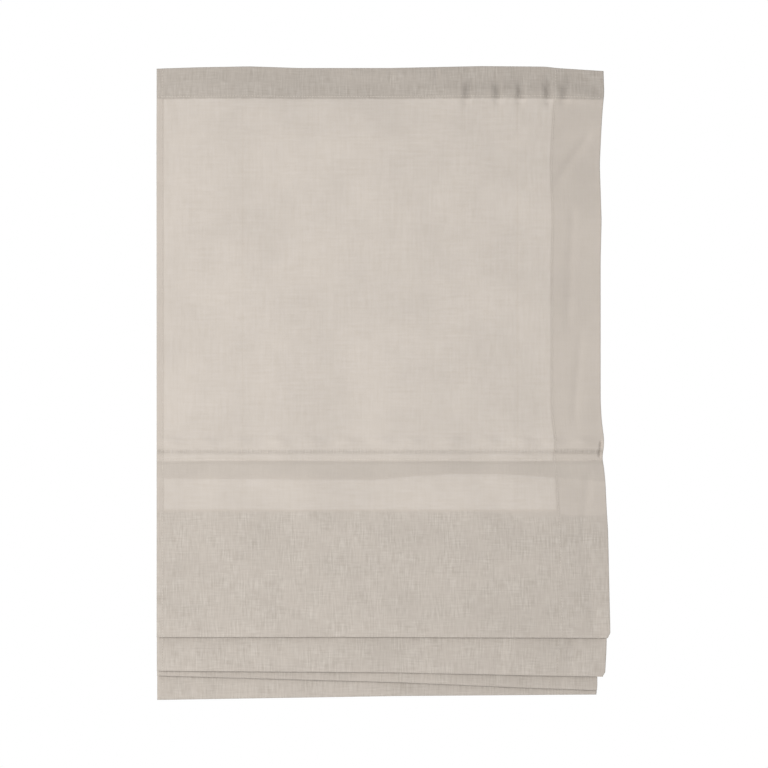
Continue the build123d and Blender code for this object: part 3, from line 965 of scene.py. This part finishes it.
def lay_sheet(name, rows, column_list, weave_from):
    """Makes a sheet along a route and gives it the linen and its flat UV map."""
    deselect()
    row_count, col_count = len(rows["y"]), len(column_list)
    bpy.ops.mesh.primitive_grid_add(x_subdivisions=col_count - 1, y_subdivisions=row_count - 1, size=1.0)
    sheet = bpy.context.object
    sheet.name = name
    mesh = sheet.data
    flat = np.empty(len(mesh.vertices) * 3)
    mesh.vertices.foreach_get("co", flat)
    flat = flat.reshape(-1, 3)
    col = np.rint((flat[:, 0] + 0.5) * (col_count - 1)).astype(int)
    row = np.rint((flat[:, 1] + 0.5) * (row_count - 1)).astype(int)
    x, behind = column_list[col].T
    places = in_metres(*shape(rows, x, behind, row.astype(float)))
    mesh.vertices.foreach_set("co", places.ravel())
    mesh.flip_normals()
    width = np.concatenate([[0], np.cumsum(np.abs(np.diff(column_list, axis=0)).sum(axis=1))])
    corner = np.empty(len(mesh.loops), int)
    mesh.loops.foreach_get("vertex_index", corner)
    weave = mesh.uv_layers[0]
    weave.name = "weave"
    weave.data.foreach_set("uv", np.stack([width[col[corner]] * MM,
                                           (weave_from + rows["length"][row[corner]]) * MM], axis=1).ravel())
    backing = mesh.attributes.new("layers", "FLOAT", "POINT")
    backing.data.foreach_set("value", layers_and_painted_shade(rows, x, row.astype(float)).astype(np.float32))
    mesh.materials.append(linen)
    bpy.ops.object.shade_smooth()
    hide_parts("cloth")
    print(name, row_count, "rows", col_count, "columns", 2 * len(mesh.polygons), "triangles")
    return sheet, row, width[-1]


# %% Lay both sheets
upper_rows = sheet_rows(upper_route, [1.0] * tuck_from + [0.0] * len(tuck), [0] * len(upper_route), tuck_from)
folded_rows = sheet_rows(folded_route, row_free, row_layer, len(folded_route))
face_length = upper_rows["length"][tuck_from - 1]
upper_sheet, upper_row, cut_w = lay_sheet("cloth_upper", upper_rows, columns(2.4), 0.0)
folded_sheet, folded_row, _ = lay_sheet("cloth_folds", folded_rows, columns(3.2), face_length)

# %% [markdown]
# ### Shares of the rods' travel
# Below the header the upper cloth stays where it is until the first rod passes it, so lifting that
# rod leaves a loop of cloth hanging under it. The share of the travel for each row is worked out
# here, and `share_out` bakes each sheet's placement.

# %% Work out the shares of the travel
LIFT = mm(next(j for j in frame["joints"] if j["name"] == "rod_1_raise")["range_m"][1])
upper_share = np.clip((upper_rows["d"] - SEAM + LIFT / 2) / (LIFT / 2), 0, 1)
upper_share[:len(header_back)] = 0.0
upper_share[tuck_from:] = 1.0
row_share = np.array(row_share)
share_out(upper_sheet, "blind", "rod_1_line", upper_share[upper_row])
share_out(folded_sheet, "rod_1_line", "rod_4_line", row_share[folded_row])

# %% [markdown]
# ## Stitches
# A lockstitch shows on the face as a row of short, plump strokes with a small gap between them, each
# pulled down into the cloth at its ends. One stitch is modelled from a six-sided ring that is
# extruded and swelled, and its copies are laid end to end along each seam. They are 2.5 mm long, so
# there are well over a thousand, and each has only a few dozen faces.

# %% One stitch
STITCH_L = 2.5
STITCH_GAP = 0.8
THREAD_R = 0.28
SWELL = [1.7, 1.25, 0.8, 0.588]

deselect()
bpy.ops.mesh.primitive_circle_add(vertices=6, radius=0.5, fill_type="NGON", location=(0, 0, 0))
stitch = bpy.context.object
bpy.ops.object.mode_set(mode="EDIT")
bpy.ops.mesh.select_all(action="SELECT")
for scale in SWELL:
    bpy.ops.mesh.extrude_region_move(TRANSFORM_OT_translate={"value": (0, 0, 1 / len(SWELL))})
    bpy.ops.transform.resize(value=(scale, scale, 1))
bpy.ops.mesh.select_all(action="SELECT")
bpy.ops.mesh.normals_make_consistent(inside=False)
bpy.ops.object.mode_set(mode="OBJECT")
stitch_points = np.array([v.co for v in stitch.data.vertices])
stitch_faces = [tuple(p.vertices) for p in stitch.data.polygons]
bpy.data.objects.remove(stitch)
print("one stitch has", len(stitch_faces), "faces")


# %% Lay a row of stitches
def stitch_row(rows, start, end, behind):
    """Stitches from start to end, each (x, row), this far behind the face. Gives points and their rows."""
    walk_x, walk_row = (np.linspace(start[i], end[i], 400) for i in (0, 1))
    line = np.stack(shape(rows, walk_x, np.full(400, behind), walk_row), axis=1)
    run = lengths(line)
    starts = np.arange(0.5, run[-1] - STITCH_L, STITCH_L + STITCH_GAP)
    ends = []
    for place in (starts, starts + STITCH_L):
        ends.append((np.interp(place, run, walk_x), np.interp(place, run, walk_row)))
    low, high = (np.stack(shape(rows, x, np.full(len(x), behind), row), axis=1) for x, row in ends)
    away = np.stack(shape(rows, ends[0][0], np.full(len(starts), behind + 1.0), ends[0][1]), axis=1) - low
    aim = high - low
    side = unit(np.cross(aim, away))
    up = unit(np.cross(side, aim))
    u, v, w = stitch_points[:, 2], stitch_points[:, 0], stitch_points[:, 1]
    points = (low[:, None] + aim[:, None] * u[:, None] + side[:, None] * (v * 1.15 * THREAD_R)[:, None]
              + up[:, None] * (w * THREAD_R)[:, None])
    rows_at = ends[0][1][:, None] + (ends[1][1] - ends[0][1])[:, None] * u
    return points.reshape(-1, 3), rows_at.ravel()


def sew(name, bodies, rows, shares, seams):
    """Makes every seam of a sheet as one piece, and bakes its placement as the sheet's is."""
    laid = [stitch_row(rows, *seam) for seam in seams]
    points = np.vstack([p for p, _ in laid])
    rows_at = np.concatenate([r for _, r in laid])
    count = len(points) // len(stitch_points)
    faces = [tuple(v + k * len(stitch_points) for v in face) for k in range(count) for face in stitch_faces]
    mesh = bpy.data.meshes.new(name)
    mesh.from_pydata(in_metres(*points.T).tolist(), [], faces)
    mesh.materials.append(thread)
    mesh.shade_smooth()
    made = add_object(name, mesh)
    share_out(made, *bodies, np.interp(rows_at, np.arange(len(shares)), shares))
    print(name, count, "stitches")
    return made


# %% [markdown]
# The seams are the header's, the wide side hem's, the narrow left turning's, one for each pocket and
# the bottom hem's. Each is a start and an end on the sheet, given by the place across and the row.

# %% Sew the seams
ON_FACE = -0.12
ON_BACK = 0.12
HEADER_SEAM = 34.5
OVER_SEAM = 1.8
HEM_SEAM = half - HEM_W + 2.5
TURN_SEAM = -half + LEFT_TURN - 2
first_face = len(header_back) + len(over_top)


def face_row(depth):
    """The upper sheet's row at this depth on the face, which may fall between two."""
    return first_face + np.interp(depth, [d for _, d in face_rows], np.arange(len(face_rows)))


hem_stitch_row = len(rows) - BOTTOM_HEM / FALL_STEP + 0.5
sew("stitches_upper", ("blind", "rod_1_line"), upper_rows, upper_share, [
    ((-half + 1, face_row(HEADER_SEAM)), (half - 1, face_row(HEADER_SEAM)), ON_FACE),
    ((-half + 1, face_row(SEAM - OVER_SEAM)), (half - 1, face_row(SEAM - OVER_SEAM)), ON_FACE),
    ((HEM_SEAM, face_row(1.0)), (HEM_SEAM, face_row(SEAM - 0.5)), ON_FACE),
    ((TURN_SEAM, face_row(1.0)), (TURN_SEAM, face_row(SEAM - 0.5)), ON_FACE)])
sew("stitches_folds", ("rod_1_line", "rod_4_line"), folded_rows, row_share, [
    *[((-half + 1, k), (half - 1, k), 2 * HEM_PITCH + ON_BACK) for k in pocket_seams],
    ((-half + 1, hem_stitch_row), (half - 1, hem_stitch_row), ON_FACE),
    ((HEM_SEAM, 0.5), (HEM_SEAM, len(folded_route) - 1.5), ON_FACE),
    ((TURN_SEAM, 0.5), (TURN_SEAM, len(folded_route) - 1.5), ON_FACE)])
